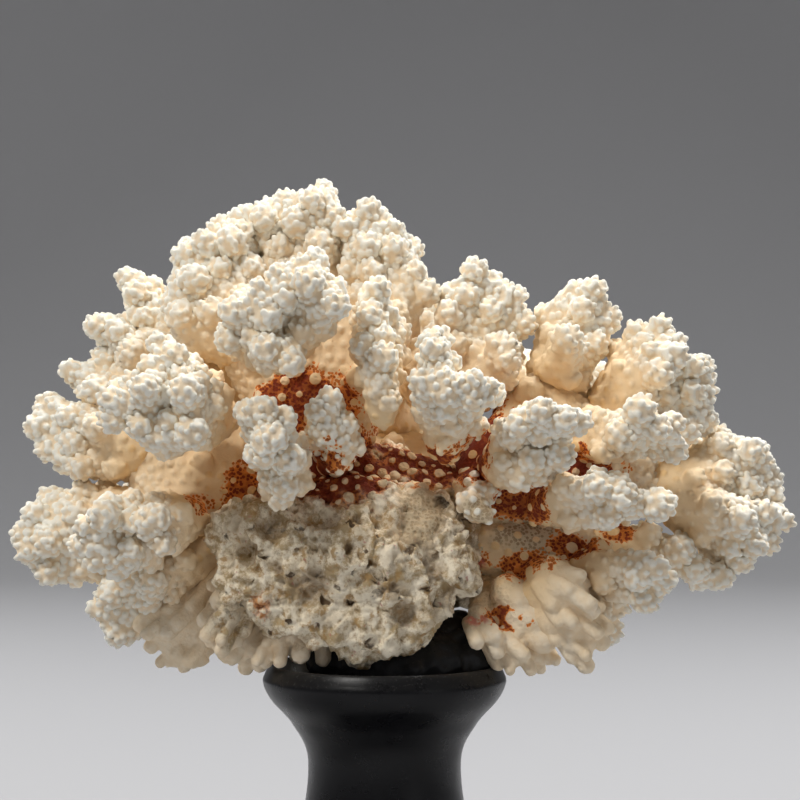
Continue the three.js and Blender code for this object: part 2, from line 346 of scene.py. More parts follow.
def value_noise(points, size, seed):
    """Smooth noise from -1 to 1 with the given cell size."""
    scaled = points / size + seed * 0.137
    cell = np.floor(scaled).astype(np.int64)
    part = scaled - cell
    part = part * part * (3 - 2 * part)
    total = np.zeros(len(points))
    for corner in range(8):
        step = np.array([(corner >> k) & 1 for k in range(3)])
        key = cell + step
        mixed = key[:, 0] * 73856093 ^ key[:, 1] * 19349663 ^ key[:, 2] * 83492791
        mixed = (mixed ^ (mixed >> 13)) * 1274126177 & 0xFFFFFFFF
        value = ((mixed ^ (mixed >> 16)) & 0xFFFF) / 32767.5 - 1
        weight = np.prod(np.where(step, part, 1 - part), axis=1)
        total += weight * value
    return total


def tree_of(spots):
    tree = kdtree.KDTree(len(spots))
    for i, spot in enumerate(spots):
        tree.insert(spot, i)
    tree.balance()
    return tree


def scattered(mesh, spacing, density, rng):
    """Points over a mesh that keep their distance. Density gives each point's chance."""
    points, tris, normals, areas = arrays(mesh)
    count = int(areas.sum() / spacing ** 2 * 7)
    picked = rng.choice(len(tris), count, p=areas / areas.sum())
    u, v = rng.random(count), rng.random(count)
    over = u + v > 1
    u[over], v[over] = 1 - u[over], 1 - v[over]
    corner = points[tris[picked]]
    sides = corner[:, 1:] - corner[:, :1]
    spots = corner[:, 0] + sides[:, 0] * u[:, None] + sides[:, 1] * v[:, None]
    chance, room = density(spots, normals[picked])
    kept = rng.random(count) < chance
    spots, facing, room = spots[kept], normals[picked][kept], room[kept] * spacing
    tree = tree_of(spots)
    free = np.ones(len(spots), bool)
    chosen = []
    for i in range(len(spots)):
        if free[i]:
            chosen.append(i)
            for _, j, _ in tree.find_range(spots[i], room[i]):
                free[j] = False
    chosen = np.array(chosen, int)
    return spots[chosen], facing[chosen]


def outward(points):
    away = points - HEART
    return away / np.maximum(np.linalg.norm(away, axis=1), 1e-9)[:, None]


def unit(vectors):
    return vectors / np.maximum(np.linalg.norm(vectors, axis=1), 1e-12)[:, None]


def store(mesh, name, values):
    layer = mesh.attributes.new(name, "FLOAT", "POINT")
    layer.data.foreach_set("value", np.asarray(values, np.float32))


def region_at(points, regions):
    """How strongly each point belongs to a set of regions, from 0 to 1."""
    total = np.zeros(len(points))
    wobble = value_noise(points, 7 * MM, seed=3) * 0.35 + value_noise(points, 2.6 * MM, seed=5) * 0.2
    for centre, half, strength in regions:
        far = np.linalg.norm((points / MM - centre) / half, axis=1)
        total = np.maximum(total, strength * smoothstep(1.15, 0.6, far + wobble))
    return total


def raised(points, spots, axes, radii, heights, warp=0.0):
    """Move points out along the axes of the round caps they lie under, and give each one's
    share of its cap's height. Warp pulls the caps out of round."""
    seen = points + np.stack([value_noise(points, 2.4 * MM, k) for k in (71, 73, 79)], axis=1) * warp
    tree = tree_of(spots)
    moved = points.copy()
    share = np.zeros(len(points))
    cap = [(tuple(a), r, h) for a, r, h in zip(axes, radii, heights)]
    for i, place in enumerate(seen):
        best = 0.0
        for _, k, far in tree.find_n(place, 2):
            axis, radius, height = cap[k]
            if far < radius:
                level = math.sqrt(1 - (far / radius) ** 3)
                if level * abs(height) > best:
                    best = level * abs(height)
                    chosen = axis, height, level
        if best:
            axis, height, level = chosen
            share[i] = level
            moved[i] += np.multiply(axis, height * level)
    return moved, share


def put_back(mesh, points):
    mesh.vertices.foreach_set("co", points.astype(np.float32).ravel())
    mesh.update()


# ---------------------------------------------------------------- shader groups

class Shader:
    """A node tree with short calls for making and joining nodes."""

    def __init__(self, tree):
        self.tree = tree

    def node(self, kind, **values):
        made = self.tree.nodes.new(kind)
        for key, value in values.items():
            setattr(made, key, value)
        return made

    def link(self, source, target):
        self.tree.links.new(source, target)
        return target

    def feed(self, socket, value):
        if isinstance(value, bpy.types.NodeSocket):
            self.link(value, socket)
        else:
            socket.default_value = value

    def math(self, operation, a, b=0.0, clamp=False):
        made = self.node("ShaderNodeMath", operation=operation, use_clamp=clamp)
        self.feed(made.inputs[0], a)
        self.feed(made.inputs[1], b)
        return made.outputs[0]

    def mix(self, factor, a, b, blend="MIX"):
        made = self.node("ShaderNodeMix", data_type="RGBA", blend_type=blend)
        self.feed(made.inputs[0], factor)
        self.feed(made.inputs[6], a)
        self.feed(made.inputs[7], b)
        return made.outputs[2]

    def swing(self, value, change, middle, amount):
        """The value moved up and down as change moves about its middle."""
        away = self.math("SUBTRACT", change, middle)
        return self.math("ADD", value, self.math("MULTIPLY", away, amount))

    def span(self, value, low, high, to_low=0.0, to_high=1.0):
        """The value stretched from one range to another, held at its ends."""
        made = self.node("ShaderNodeMapRange")
        for socket, given in zip(made.inputs, (value, low, high, to_low, to_high)):
            self.feed(socket, given)
        return made.outputs[0]

    def place(self):
        return self.node("ShaderNodeTexCoord").outputs["Object"]

    def noise(self, place, size, detail=3.0, rough=0.5):
        made = self.node("ShaderNodeTexNoise")
        self.link(place, made.inputs["Vector"])
        made.inputs["Scale"].default_value = 1 / size
        made.inputs["Detail"].default_value = detail
        made.inputs["Roughness"].default_value = rough
        return made.outputs["Fac"]

    def cells(self, place, size, spread=1.0):
        made = self.node("ShaderNodeTexVoronoi")
        made.inputs["Randomness"].default_value = spread
        self.link(place, made.inputs["Vector"])
        if isinstance(size, bpy.types.NodeSocket):
            self.link(self.math("DIVIDE", 1.0, size), made.inputs["Scale"])
        else:
            made.inputs["Scale"].default_value = 1 / size
        return made.outputs["Distance"]

    def layer(self, name):
        return self.node("ShaderNodeAttribute", attribute_name=name).outputs["Fac"]


def shader_group(name, inputs, outputs, build):
    """A node group with named inputs and outputs, made once."""
    if name in bpy.data.node_groups:
        return bpy.data.node_groups[name]
    tree = bpy.data.node_groups.new(name, "ShaderNodeTree")
    for label, kind, default in inputs:
        socket = tree.interface.new_socket(name=label, in_out="INPUT", socket_type=kind)
        if default is not None:
            socket.default_value = default
    for label, kind in outputs:
        tree.interface.new_socket(name=label, in_out="OUTPUT", socket_type=kind)
    shader = Shader(tree)
    entry = shader.node("NodeGroupInput")
    leave = shader.node("NodeGroupOutput")
    build(shader, entry.outputs, leave.inputs)
    return tree


def pores_group():
    """Polyp pits: a mask of their mouths and a height."""
    def build(shader, given, result):
        place = shader.place()
        far = shader.cells(place, given["Spacing"], spread=0.85)
        shader.link(shader.span(far, 0.54, 0.40), result["Mouth"])
        rim = shader.span(far, 0.36, 0.56)
        grain = shader.noise(place, 0.45 * MM, detail=3.0, rough=0.6)
        rim = shader.math("MULTIPLY", rim, shader.span(given["Depth"], 0.0, 1.0, 0.15, 1.0))
        height = shader.math("ADD", rim, shader.math("MULTIPLY", grain, 0.4))
        shader.link(height, result["Height"])
    return shader_group(
        "Polyp Pores",
        (("Spacing", "NodeSocketFloat", 1.3 * MM), ("Depth", "NodeSocketFloat", 0.5)),
        (("Mouth", "NodeSocketFloat"), ("Height", "NodeSocketFloat")), build)


def crust_group():
    """Weathered crust: cream, grey and brown dirt, and ochre grains, darkened in its pits partly by
    brown dirt and partly by painted shade.
    """
    def build(shader, given, result):
        place = shader.place()
        dirt = shader.noise(place, 6 * MM, detail=8.0, rough=0.72)
        colour = shader.mix(shader.span(dirt, 0.42, 0.54), given["Colour"], CREAM)
        grey = shader.noise(place, 12 * MM, detail=4.0, rough=0.6)
        colour = shader.mix(shader.span(grey, 0.54, 0.66, 0.0, 0.6), colour, TAN)
        ochre = shader.noise(place, 4 * MM, detail=6.0, rough=0.7)
        colour = shader.mix(shader.span(ochre, 0.53, 0.62, 0.0, 0.8), colour, OCHRE)
        pink = shader.noise(place, 2.6 * MM, detail=3.0, rough=0.5)
        colour = shader.mix(shader.span(pink, 0.68, 0.74, 0.0, 0.7), colour, PINK_GRAIN)
        colour = shader.mix(shader.math("MULTIPLY", given["Worn"], 0.6), colour, WORN_BROWN)
        # Partly brown dirt, partly painted shade: low places on the crust, where the noise allows, are
        # darkened to near black
        low = shader.span(given["Crest"], 0.48, 0.28)
        brown = shader.math("MULTIPLY", low, shader.span(dirt, 0.66, 0.48))
        colour = shader.mix(shader.math("MULTIPLY", brown, 0.9), colour, PIT_DIRT_AND_SHADE)
        shader.link(colour, result["Colour"])
    return shader_group(
        "Weathered Crust",
        (("Colour", "NodeSocketColor", None), ("Crest", "NodeSocketFloat", 0.5),
         ("Worn", "NodeSocketFloat", 0.0)),
        (("Colour", "NodeSocketColor"),), build)


def coral_colour_group():
    """Bleached tips, honey roots, painted shade in the hollows between warts, bare net and stains."""
    def build(shader, given, result):
        place = shader.place()
        patch = shader.noise(place, 16 * MM, detail=3.0, rough=0.55)
        fine = shader.noise(place, 1.8 * MM, detail=3.0, rough=0.6)
        shift = shader.math("MULTIPLY", shader.math("SUBTRACT", patch, 0.5), 0.6)
        age = shader.math("ADD", given["Tip"], shift, clamp=True)
        body = shader.mix(age, given["Root Colour"], given["Tip Colour"])
        # Painted shade: where the crest is low, in the hollows between warts, the colour is mixed
        # towards a darker, warmer shade colour
        crease_shade_colour = shader.mix(0.25, given["Root Colour"], given["Tip Colour"])
        crease_shade = shader.math("MULTIPLY", shader.span(given["Crest"], 0.8, 0.1), 0.7)
        body = shader.mix(crease_shade, body, crease_shade_colour)
        # Painted shade: the mouths of the polyp pits in the bare net are darkened to a dark brown
        pit = shader.math("MULTIPLY", given["Mouth"], 0.75)
        net = shader.mix(pit, given["Bare Colour"], PORE_SHADE)
        low = shader.span(given["Crest"], 0.6, 0.15)
        body = shader.mix(shader.math("MULTIPLY", given["Bare"], low), body, net)
        blotch = shader.noise(place, 5 * MM, detail=3.0, rough=0.6)
        deep = shader.swing(given["Stain"], fine, 0.5, 0.5)
        deep = shader.swing(deep, blotch, 0.5, 0.9)
        deep = shader.swing(deep, given["Mouth"], 0.4, 0.45)
        deep = shader.math("MULTIPLY", deep, shader.span(given["Stain"], 0.02, 0.2), clamp=True)
        deep = shader.math("MULTIPLY", deep, shader.span(given["Crest"], 0.7, 0.4))
        heart = shader.span(deep, 0.3, 0.85)
        stained = shader.mix(heart, given["Stain Edge Colour"], given["Stain Colour"])
        body = shader.mix(shader.span(deep, 0.1, 0.3), body, stained)
        shader.link(body, result["Colour"])
    return shader_group(
        "Coral Colour",
        (("Tip", "NodeSocketFloat", 0.5), ("Crest", "NodeSocketFloat", 0.5),
         ("Mouth", "NodeSocketFloat", 0.0), ("Stain", "NodeSocketFloat", 0.0),
         ("Bare", "NodeSocketFloat", 0.0), ("Tip Colour", "NodeSocketColor", None),
         ("Root Colour", "NodeSocketColor", None), ("Bare Colour", "NodeSocketColor", None),
         ("Stain Colour", "NodeSocketColor", None), ("Stain Edge Colour", "NodeSocketColor", None)),
        (("Colour", "NodeSocketColor"),), build)


def dust_group():
    """Dust that settles on upward faces: a mask."""
    def build(shader, given, result):
        place = shader.place()
        normal = shader.node("ShaderNodeNewGeometry").outputs["Normal"]
        split = shader.node("ShaderNodeSeparateXYZ")
        shader.link(normal, split.inputs[0])
        up = shader.span(split.outputs["Z"], 0.1, 0.9)
        speck = shader.span(shader.noise(place, 0.9 * MM, detail=2.0, rough=0.7), 0.60, 0.72)
        haze = shader.math("MULTIPLY", shader.noise(place, 9 * MM, detail=4.0, rough=0.6), 0.35)
        both = shader.math("ADD", speck, haze, clamp=True)
        mask = shader.math("MULTIPLY", shader.math("MULTIPLY", both, up), given["Amount"], clamp=True)
        shader.link(mask, result["Mask"])
    return shader_group(
        "Settled Dust", (("Amount", "NodeSocketFloat", 0.5),), (("Mask", "NodeSocketFloat"),), build)


def new_material(name):
    material = bpy.data.materials.new(name)
    material.use_nodes = True
    tree = material.node_tree
    return material, Shader(tree), tree.nodes["Principled BSDF"]


def add_group(shader, tree, **values):
    made = shader.node("ShaderNodeGroup")
    made.node_tree = tree
    for key, value in values.items():
        shader.feed(made.inputs[key.replace("_", " ")], value)
    return made.outputs


def add_bump(shader, skin, height, strength, distance):
    bump = shader.node("ShaderNodeBump")
    bump.inputs["Strength"].default_value = strength
    bump.inputs["Distance"].default_value = distance
    shader.link(height, bump.inputs["Height"])
    shader.link(bump.outputs[0], skin.inputs["Normal"])


def coral_material(settings):
    if "Coral" in bpy.data.materials:
        return bpy.data.materials["Coral"]
    material, shader, skin = new_material("Coral")
    bare = shader.layer("bare")
    crest = shader.layer("crest")
    stain = shader.layer("stain")
    depth = shader.math("MAXIMUM", bare, stain)
    pores = add_group(shader, pores_group(), Spacing=settings.pore_spacing, Depth=depth)
    body = add_group(
        shader, coral_colour_group(), Tip=shader.layer("tip"), Crest=crest,
        Mouth=pores["Mouth"], Stain=stain, Bare=bare,
        Tip_Colour=settings.tip_colour, Root_Colour=settings.root_colour,
        Bare_Colour=settings.bare_colour, Stain_Colour=settings.stain_colour,
        Stain_Edge_Colour=settings.stain_edge_colour)
    crust = add_group(shader, crust_group(), Colour=settings.crust_colour, Crest=crest, Worn=bare)
    colour = shader.mix(shader.layer("crust"), body["Colour"], crust["Colour"])
    patchy = shader.span(shader.noise(shader.place(), 1.6 * MM), 0.40, 0.52)
    pink = shader.math("MULTIPLY", shader.layer("pink"), patchy)
    colour = shader.mix(pink, colour, PINK_CRUST)
    shader.link(colour, skin.inputs["Base Color"])
    rough = shader.span(shader.noise(shader.place(), 3 * MM), 0.3, 0.7, 0.68, 0.86)
    shader.link(rough, skin.inputs["Roughness"])
    chips = shader.noise(shader.place(), 2.2 * MM, detail=8.0, rough=0.75)
    chips = shader.math("MULTIPLY", shader.math("MULTIPLY", chips, 3.5), shader.layer("crust"))
    height = shader.math("ADD", pores["Height"], chips)
    add_bump(shader, skin, height, strength=0.6, distance=0.4 * MM)
    skin.inputs["Specular IOR Level"].default_value = 0.35
    return material


def paint_material(settings):
    material, shader, skin = new_material("Black Paint")
    place = shader.place()
    dust = add_group(shader, dust_group(), Amount=0.28)
    colour = shader.mix(dust["Mask"], settings.paint_colour, PAINT_DUST)
    shader.link(colour, skin.inputs["Base Color"])
    skin.inputs["Specular IOR Level"].default_value = 0.22
    rough = shader.span(shader.noise(place, 6 * MM, detail=4.0, rough=0.6), 0.3, 0.7, 0.24, 0.36)
    rough = shader.math("ADD", rough, shader.math("MULTIPLY", dust["Mask"], 0.4), clamp=True)
    shader.link(rough, skin.inputs["Roughness"])
    stretch = shader.node("ShaderNodeMapping")
    stretch.inputs["Scale"].default_value = (0.12, 0.12, 1.0)
    shader.link(place, stretch.inputs["Vector"])
    rings = shader.noise(stretch.outputs[0], 0.9 * MM, detail=2.0, rough=0.5)
    peel = shader.noise(place, 1.6 * MM, detail=2.0, rough=0.5)
    add_bump(shader, skin, shader.math("ADD", rings, peel), strength=0.10, distance=0.25 * MM)
    return material


def putty_material(settings):
    material, shader, skin = new_material("Black Putty")
    place = shader.place()
    dust = add_group(shader, dust_group(), Amount=0.2)
    colour = shader.mix(dust["Mask"], settings.putty_colour, PUTTY_DUST)
    shader.link(colour, skin.inputs["Base Color"])
    skin.inputs["Specular IOR Level"].default_value = 0.25
    rough = shader.span(shader.noise(place, 4 * MM, detail=4.0, rough=0.6), 0.3, 0.7, 0.26, 0.5)
    shader.link(rough, skin.inputs["Roughness"])
    crease = shader.noise(place, 1.8 * MM, detail=4.0, rough=0.6)
    add_bump(shader, skin, crease, strength=0.5, distance=0.5 * MM)
    return material


def backdrop_material(settings):
    material, shader, skin = new_material("Backdrop")
    skin.inputs["Base Color"].default_value = settings.backdrop_colour
    skin.inputs["Roughness"].default_value = 0.9
    return material


# ---------------------------------------------------------------- coral pieces

def soft_body(name, voxel=1.5 * MM, smooth=5, swell=(0.8 * MM, -1.3 * MM), warp=1.3 * MM,
              flute=0.5 * MM):
    """The frame's solid with its facets melted, bent a little out of true. Swell is how far it
    stands out at its fork, where it has to meet its neighbours, and at its tips. Flute is the
    height of the ribs that run out from the heart."""
    mesh = reworked(name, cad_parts[name].data.copy(), voxel=voxel, smooth=smooth)
    points = arrays(mesh)[0]
    normals = point_normals(mesh)
    lump = value_noise(points, 9 * MM, seed=11) * 0.6 + value_noise(points, 5 * MM, seed=23) * 0.4
    tip = smoothstep(0.25, 0.7, growth(points, reach_of(name)))
    out = swell[0] + (swell[1] - swell[0]) * tip
    ribs = 0.5 - np.abs(value_noise(outward(points), 0.10, seed=13)) * 1.4
    points = points + normals * (out + warp * lump + flute * ribs * tip * 2)[:, None]
    put_back(mesh, points)
    return mesh


def reach_of(name):
    """The nearest and farthest distance of a frame solid from the heart."""
    points = arrays(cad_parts[name].data)[0]
    far = np.linalg.norm(points - HEART, axis=1)
    return far.min(), far.max()


def growth(points, reach):
    """0 where a piece leaves its fork, 1 at its tips."""
    far = np.linalg.norm(points - HEART, axis=1)
    return np.clip((far - reach[0]) / (reach[1] - reach[0]), 0, 1)


def fused(mesh, parts, voxel, smooth):
    """The mesh and the parts as one new skin."""
    points, tris = joined([arrays(mesh)[:2]] + parts)
    bpy.data.meshes.remove(mesh)
    return reworked("fused", mesh_from("fused", points, tris), voxel=voxel, smooth=smooth)


def add_fingers(name, mesh, settings, rng, reach):
    """Smooth fingers with round ends that run out along a smooth branch."""
    def density(spots, facing):
        return smoothstep(0.3, 0.55, growth(spots, reach)), np.ones(len(spots))
    spots, facing = scattered(mesh, settings.lobe_spacing * 0.9, density, rng)
    axes = unit(outward(spots) + facing * 0.15 + (0, 0, -0.3) + rng.normal(0, 0.1, spots.shape))
    radii = settings.lobe_radius * rng.uniform(0.5, 0.9, len(spots))
    stretch = rng.uniform(1.6, 3.0, len(spots))
    parts = [balls(spots - facing * (radii * 0.2)[:, None], axes, radii, stretch, BALL)]
    for centre, radius in WEBS.get(name, ()):
        place = np.array([centre]) * MM
        parts.append(balls(place, outward(place), np.array([radius * MM]), np.array([1.4]), BALL))
    return fused(mesh, parts, settings.voxel, smooth=3)


def add_lobes(mesh, settings, rng, reach, apart=1.0):
    """The rounded lobes that make a blade's edge into a club. They stand out further on its
    broad faces, front and back, than round its edge. Apart spaces them out."""
    def density(spots, facing):
        tip = growth(spots, reach)
        lean = (facing * outward(spots)).sum(axis=1)
        far = smoothstep(0.55, 0.2, tip)
        chance = smoothstep(0.2, 0.5, tip + 0.15 * lean) * (1 - region_at(spots, STAINS))
        return chance, 0.9 + 0.5 * np.abs(facing[:, 1]) + 0.6 * far
    spots, facing = scattered(mesh, settings.lobe_spacing * apart, density, rng)
    axes = unit(facing * 0.8 + outward(spots) * 0.5 + rng.normal(0, 0.15, spots.shape))
    broad = np.abs(facing[:, 1])
    radii = settings.lobe_radius * rng.uniform(0.8, 1.15, len(spots)) * (0.9 + 0.35 * broad)
    stretch = rng.uniform(1.05, 1.3, len(spots))
    sunk = 0.35 - 0.4 * broad
    lumps = balls(spots - axes * (radii * sunk)[:, None], axes, radii, stretch, BALL)
    return fused(mesh, [lumps], settings.voxel, smooth=2)


def add_warts(mesh, settings, rng, reach, height=1.0):
    """Warts over a whole piece: crowded round its tips, drawn out to fingers along its edge,
    and scattered dots near its fork. Gives the share of each wart's height that a point is at."""
    def density(spots, facing):
        tip = growth(spots, reach)
        lean = (facing * outward(spots)).sum(axis=1)
        far = smoothstep(0.5, 0.2, tip + 0.12 * lean)
        bald = np.maximum(region_at(spots, BARE), region_at(spots, STAINS))
        chance = (1 - 0.3 * far) * (1 - 0.72 * bald)
        return chance, 1 + 0.9 * far + 0.7 * bald
    spots, facing = scattered(mesh, settings.wart_spacing, density, rng)
    tip = smoothstep(0.2, 0.6, growth(spots, reach))
    away = outward(spots)
    edge = smoothstep(0.35, 0.85, (facing * away).sum(axis=1)) * tip
    axes = unit(facing * 0.9 + away * (0.25 + 0.5 * edge)[:, None] + rng.normal(0, 0.1, spots.shape))
    radii = settings.wart_radius * rng.uniform(0.9, 1.3, len(spots)) * (1.12 - 0.12 * edge)
    heights = settings.wart_height * rng.uniform(0.75, 1.2, len(spots)) * (0.6 + 0.4 * tip + 0.3 * edge)
    pearl = 1 + region_at(spots, STAINS) * rng.uniform(-0.3, 1.1, len(spots))
    radii, heights = radii * pearl, heights * pearl
    points, share = raised(arrays(mesh)[0], spots, axes, radii, heights * height)
    put_back(mesh, points)
    return share


def thinned(mesh, name, detail):
    """The mesh with no more than about detail triangles for each square millimetre."""
    _, tris, _, areas = arrays(mesh)
    ratio = detail * areas.sum() / MM ** 2 / len(tris)
    return reworked(name, mesh, ratio=ratio)


def finish_coral(name, mesh, crest, settings, reach, bare=0.0, detail=1.0, tip_white_and_shade=1.0):
    """Thin the mesh out, store what its colours need on it and make it the piece."""
    # The crest attribute sets where shade is painted: in the hollows between warts and in the crust's
    # pits
    store(mesh, "crest", crest)
    mesh = thinned(mesh, name, settings.detail * detail)
    points = arrays(mesh)[0]
    # The tip share is scaled down on the lower smooth branches: partly their ivory colour, partly
    # painted shade
    store(mesh, "tip", smoothstep(0.05, 0.75, growth(points, reach)) * tip_white_and_shade)
    store(mesh, "stain", region_at(points, STAINS))
    worn = dented(points) ** 2 if name == STEM else bare
    store(mesh, "bare", np.maximum(region_at(points, BARE), worn))
    store(mesh, "pink", region_at(points, PINK))
    crust = crust_near_stem(points)
    if name == STEM:
        crust = np.maximum(crust, 1 - np.maximum(region_at(points, STAINS), region_at(points, BARE)))
    store(mesh, "crust", crust)
    mesh.shade_smooth()
    mesh.materials.clear()
    mesh.materials.append(coral_material(settings))
    piece = new_object("coral_" + name, mesh)
    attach(piece, BODY)
    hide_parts(name)
    return piece


def dent_at(points, centre, radius):
    """How deep each point lies in one worn dent, from 0 to 1."""
    far = np.linalg.norm(points / MM - centre, axis=1) + value_noise(points, 4 * MM, seed=51) * 1.2
    return smoothstep(1.25, 0.5, far / radius)


def dented(points):
    """How deep each point lies in any of the stem's worn dents, from 0 to 1."""
    return np.max([dent_at(points, centre, radius) for centre, radius, _ in DENTS], axis=0)


def crust_near_stem(points):
    """Crust that spreads from the broken stem over its neighbours, but not over the stains."""
    beyond = region_at(points, CRUSTED)
    scaled = (points / MM - (-14, -24, 121)) / (31, 18, 19)
    far = np.linalg.norm(scaled, axis=1) + value_noise(points, 8 * MM, seed=31) * 0.25
    right = (points / MM - (16, -26, 113)) / (12, 14, 14)
    far = np.minimum(far, np.linalg.norm(right, axis=1))
    clear = np.maximum(region_at(points, STAINS), region_at(points, BARE))
    return np.maximum(smoothstep(1.15, 0.8, far) * (1 - clear), beyond)


BALL = ball_template(3)


class CORAL_OT_branches(bpy.types.Operator):
    """Grow lobes and warts on every branch"""
    bl_idname = "coral.branches"
    bl_label = "Branches"

    def execute(self, context):
        settings = context.scene.coral
        for name in BRANCHES:
            rng = np.random.default_rng(seed_of(name))
            reach = reach_of(name)
            if name in SMOOTH_BRANCHES:
                mesh = soft_body(name, swell=(1.2 * MM, -0.6 * MM), flute=2.8 * MM)
                mesh = add_fingers(name, mesh, settings, rng, reach)
                share = add_warts(mesh, settings, rng, reach, height=0.14)
                # A middling crest gives the smooth branches a middling amount of painted shade, and less
                # on their warts
                crest = 0.4 + 0.4 * share
                finish_coral(name, mesh, crest, settings, reach, bare=0.1, tip_white_and_shade=0.55)
                continue
            mesh = add_lobes(soft_body(name), settings, rng, reach)
            crest = add_warts(mesh, settings, rng, reach)
            detail = BACK_DETAIL if name.startswith("back_") else 1.0
            finish_coral(name, mesh, crest, settings, reach, detail=detail)
        return {"FINISHED"}


class CORAL_OT_limbs(bpy.types.Operator):
    """Dress the main limbs with scattered warts"""
    bl_idname = "coral.limbs"
    bl_label = "Main Limbs"

    def execute(self, context):
        settings = context.scene.coral
        for name in LIMBS:
            rng = np.random.default_rng(seed_of(name))
            reach = (reach_of(name)[0], reach_of(name)[1] * 1.8)
            body = soft_body(name, swell=(1 * MM, 0.5 * MM))
            mesh = add_lobes(body, settings, rng, reach, apart=1.5)
            crest = add_warts(mesh, settings, rng, reach)
            finish_coral(name, mesh, crest, settings, reach, detail=0.8)
        return {"FINISHED"}


class CORAL_OT_stem(bpy.types.Operator):
    """Weather the broken stem"""
    bl_idname = "coral.stem"
    bl_label = "Broken Stem"

    def rough_places(self, spots, facing):
        smooth = np.maximum(region_at(spots, BARE), region_at(spots, STAINS))
        return (1 - smooth) * (1 - dented(spots)), np.ones(len(spots))

    def stained_places(self, spots, facing):
        return region_at(spots, STAINS) ** 2, np.ones(len(spots))

    def execute(self, context):
        settings = context.scene.coral
        rng = np.random.default_rng(seed_of(STEM))
        body = soft_body(STEM, swell=(1 * MM, 0.9 * MM), warp=2.5 * MM)
        mesh = reworked(STEM, body, voxel=0.5 * MM)
        points = arrays(mesh)[0]
        normals = point_normals(mesh)
        bare = np.maximum(region_at(points, BARE), region_at(points, STAINS) * 0.7)
        rough = value_noise(points, 9 * MM, seed=41) * 1.8 + value_noise(points, 1.6 * MM, seed=43) * 0.7
        rough += (0.5 - np.abs(value_noise(points, 8 * MM, seed=45))) * 5.0
        rough += (0.5 - np.abs(value_noise(points, 3.2 * MM, seed=46))) * 2.2
        rough += (0.5 - np.abs(value_noise(points, 1.5 * MM, seed=47))) * 1.1
        points += normals * (rough * (1 - 0.85 * bare) * MM)[:, None]
        for centre, radius, depth in DENTS:
            points -= normals * (depth * MM * dent_at(points, centre, radius))[:, None]
        put_back(mesh, points)
        spots, facing = scattered(mesh, 6.5 * MM, self.rough_places, rng)
        deep = rng.uniform(0.4, 1.0, len(spots)) ** 2 * 3.0 * MM
        wide = rng.uniform(0.6, 1.0, len(spots)) ** 2 * 2.6 * MM
        points, pit = raised(points, spots, -facing, wide, deep, warp=1.3 * MM)
        put_back(mesh, points)
        spots, facing = scattered(mesh, 1.9 * MM, self.rough_places, rng)
        grains = rng.uniform(0.4, 1.0, len(spots)) * MM
        points, grain = raised(points, spots, facing, grains * 1.5, grains * 0.5, warp=0.6 * MM)
        put_back(mesh, points)
        spots, facing = scattered(mesh, 3.4 * MM, self.stained_places, rng)
        pearls = rng.uniform(0.7, 2.1, len(spots)) * MM
        points, pearl = raised(points, spots, facing, pearls, pearls * 0.8)
        put_back(mesh, points)
        # Crest is low in the pits, where the crust is darkened: partly dirt, partly painted shade
        crest = np.clip(0.5 - 0.5 * pit + 0.4 * grain, 0, 1) * (1 - 0.8 * bare)
        crest = np.maximum(crest, pearl)
        finish_coral(STEM, mesh, crest, settings, (0, 0.12), detail=1.35)
        return {"FINISHED"}


# ---------------------------------------------------------------- stand and putty

def lathe(name, profile, segments):
    """A closed turning from a profile that starts and ends on the axis."""
    bm = bmesh.new()
    rings = []
    for radius, height in profile:
        if radius < 1e-9:
            rings.append([bm.verts.new((0, 0, height))])
            continue
        turns = (2 * math.pi * k / segments for k in range(segments))
        rings.append([bm.verts.new((radius * math.cos(a), radius * math.sin(a), height)) for a in turns])
    for low, high in zip(rings, rings[1:]):
        for k in range(segments):
            below = low[k % len(low)], low[(k + 1) % len(low)]
            above = high[(k + 1) % len(high)], high[k % len(high)]
            bm.faces.new(dict.fromkeys(below + above))
    bmesh.ops.recalc_face_normals(bm, faces=bm.faces)
    mesh = bpy.data.meshes.new(name)
    bm.to_mesh(mesh)
    bm.free()
    mesh.shade_smooth()
    return mesh


def smooth_profile(points, steps):
    """A Catmull-Rom curve through the points."""
    pts = [np.array(p, float) for p in points]
    pts = [2 * pts[0] - pts[1]] + pts + [2 * pts[-1] - pts[-2]]
    curve = []
    for a, b, c, d in zip(pts, pts[1:], pts[2:], pts[3:]):
        for k in range(steps):
            t = k / steps
            curve.append(0.5 * (2 * b + (c - a) * t + (2 * a - 5 * b + 4 * c - d) * t ** 2
                                + (3 * b - a - 3 * c + d) * t ** 3))
    curve.append(pts[-2])
    return [tuple(p) for p in curve]


class CORAL_OT_stand(bpy.types.Operator):
    """Turn the stand and paint it"""
    bl_idname = "coral.stand"
    bl_label = "Stand"

    def execute(self, context):
        settings = context.scene.coral_stand
        low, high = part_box("stand")
        top = high[2]
        foot = high[0]
        rim = foot * RIM_TO_FOOT
        bead = [(foot - 2.2 * MM, 0.4 * MM), (foot, 3.5 * MM), (foot - 1 * MM, 8 * MM)]
        flare = [(foot - 5 * MM, 10 * MM), (35 * MM, 20 * MM), (26 * MM, 40 * MM)]
        neck = [(23.3 * MM, 61 * MM), (28 * MM, 72 * MM)]
        roll = [(rim - 2.5 * MM, top - 10.5 * MM), (rim, top - 5.5 * MM),
                (rim - 0.6 * MM, top - 2.5 * MM), (rim - 2 * MM, top)]
        dish = [(rim - 3 * MM, top - 0.6 * MM), (rim - 6 * MM, top - 7 * MM)]
        outline = bead + flare + neck + roll + dish
        profile = [(0, 0), (foot - 3 * MM, 0)] + smooth_profile(outline, 8) + [(0, top - 7 * MM)]
        piece = new_object("turned_stand", lathe("turned_stand", profile, settings.segments))
        piece.data.materials.append(paint_material(settings))
        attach(piece, BODY)
        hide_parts("stand")
        return {"FINISHED"}


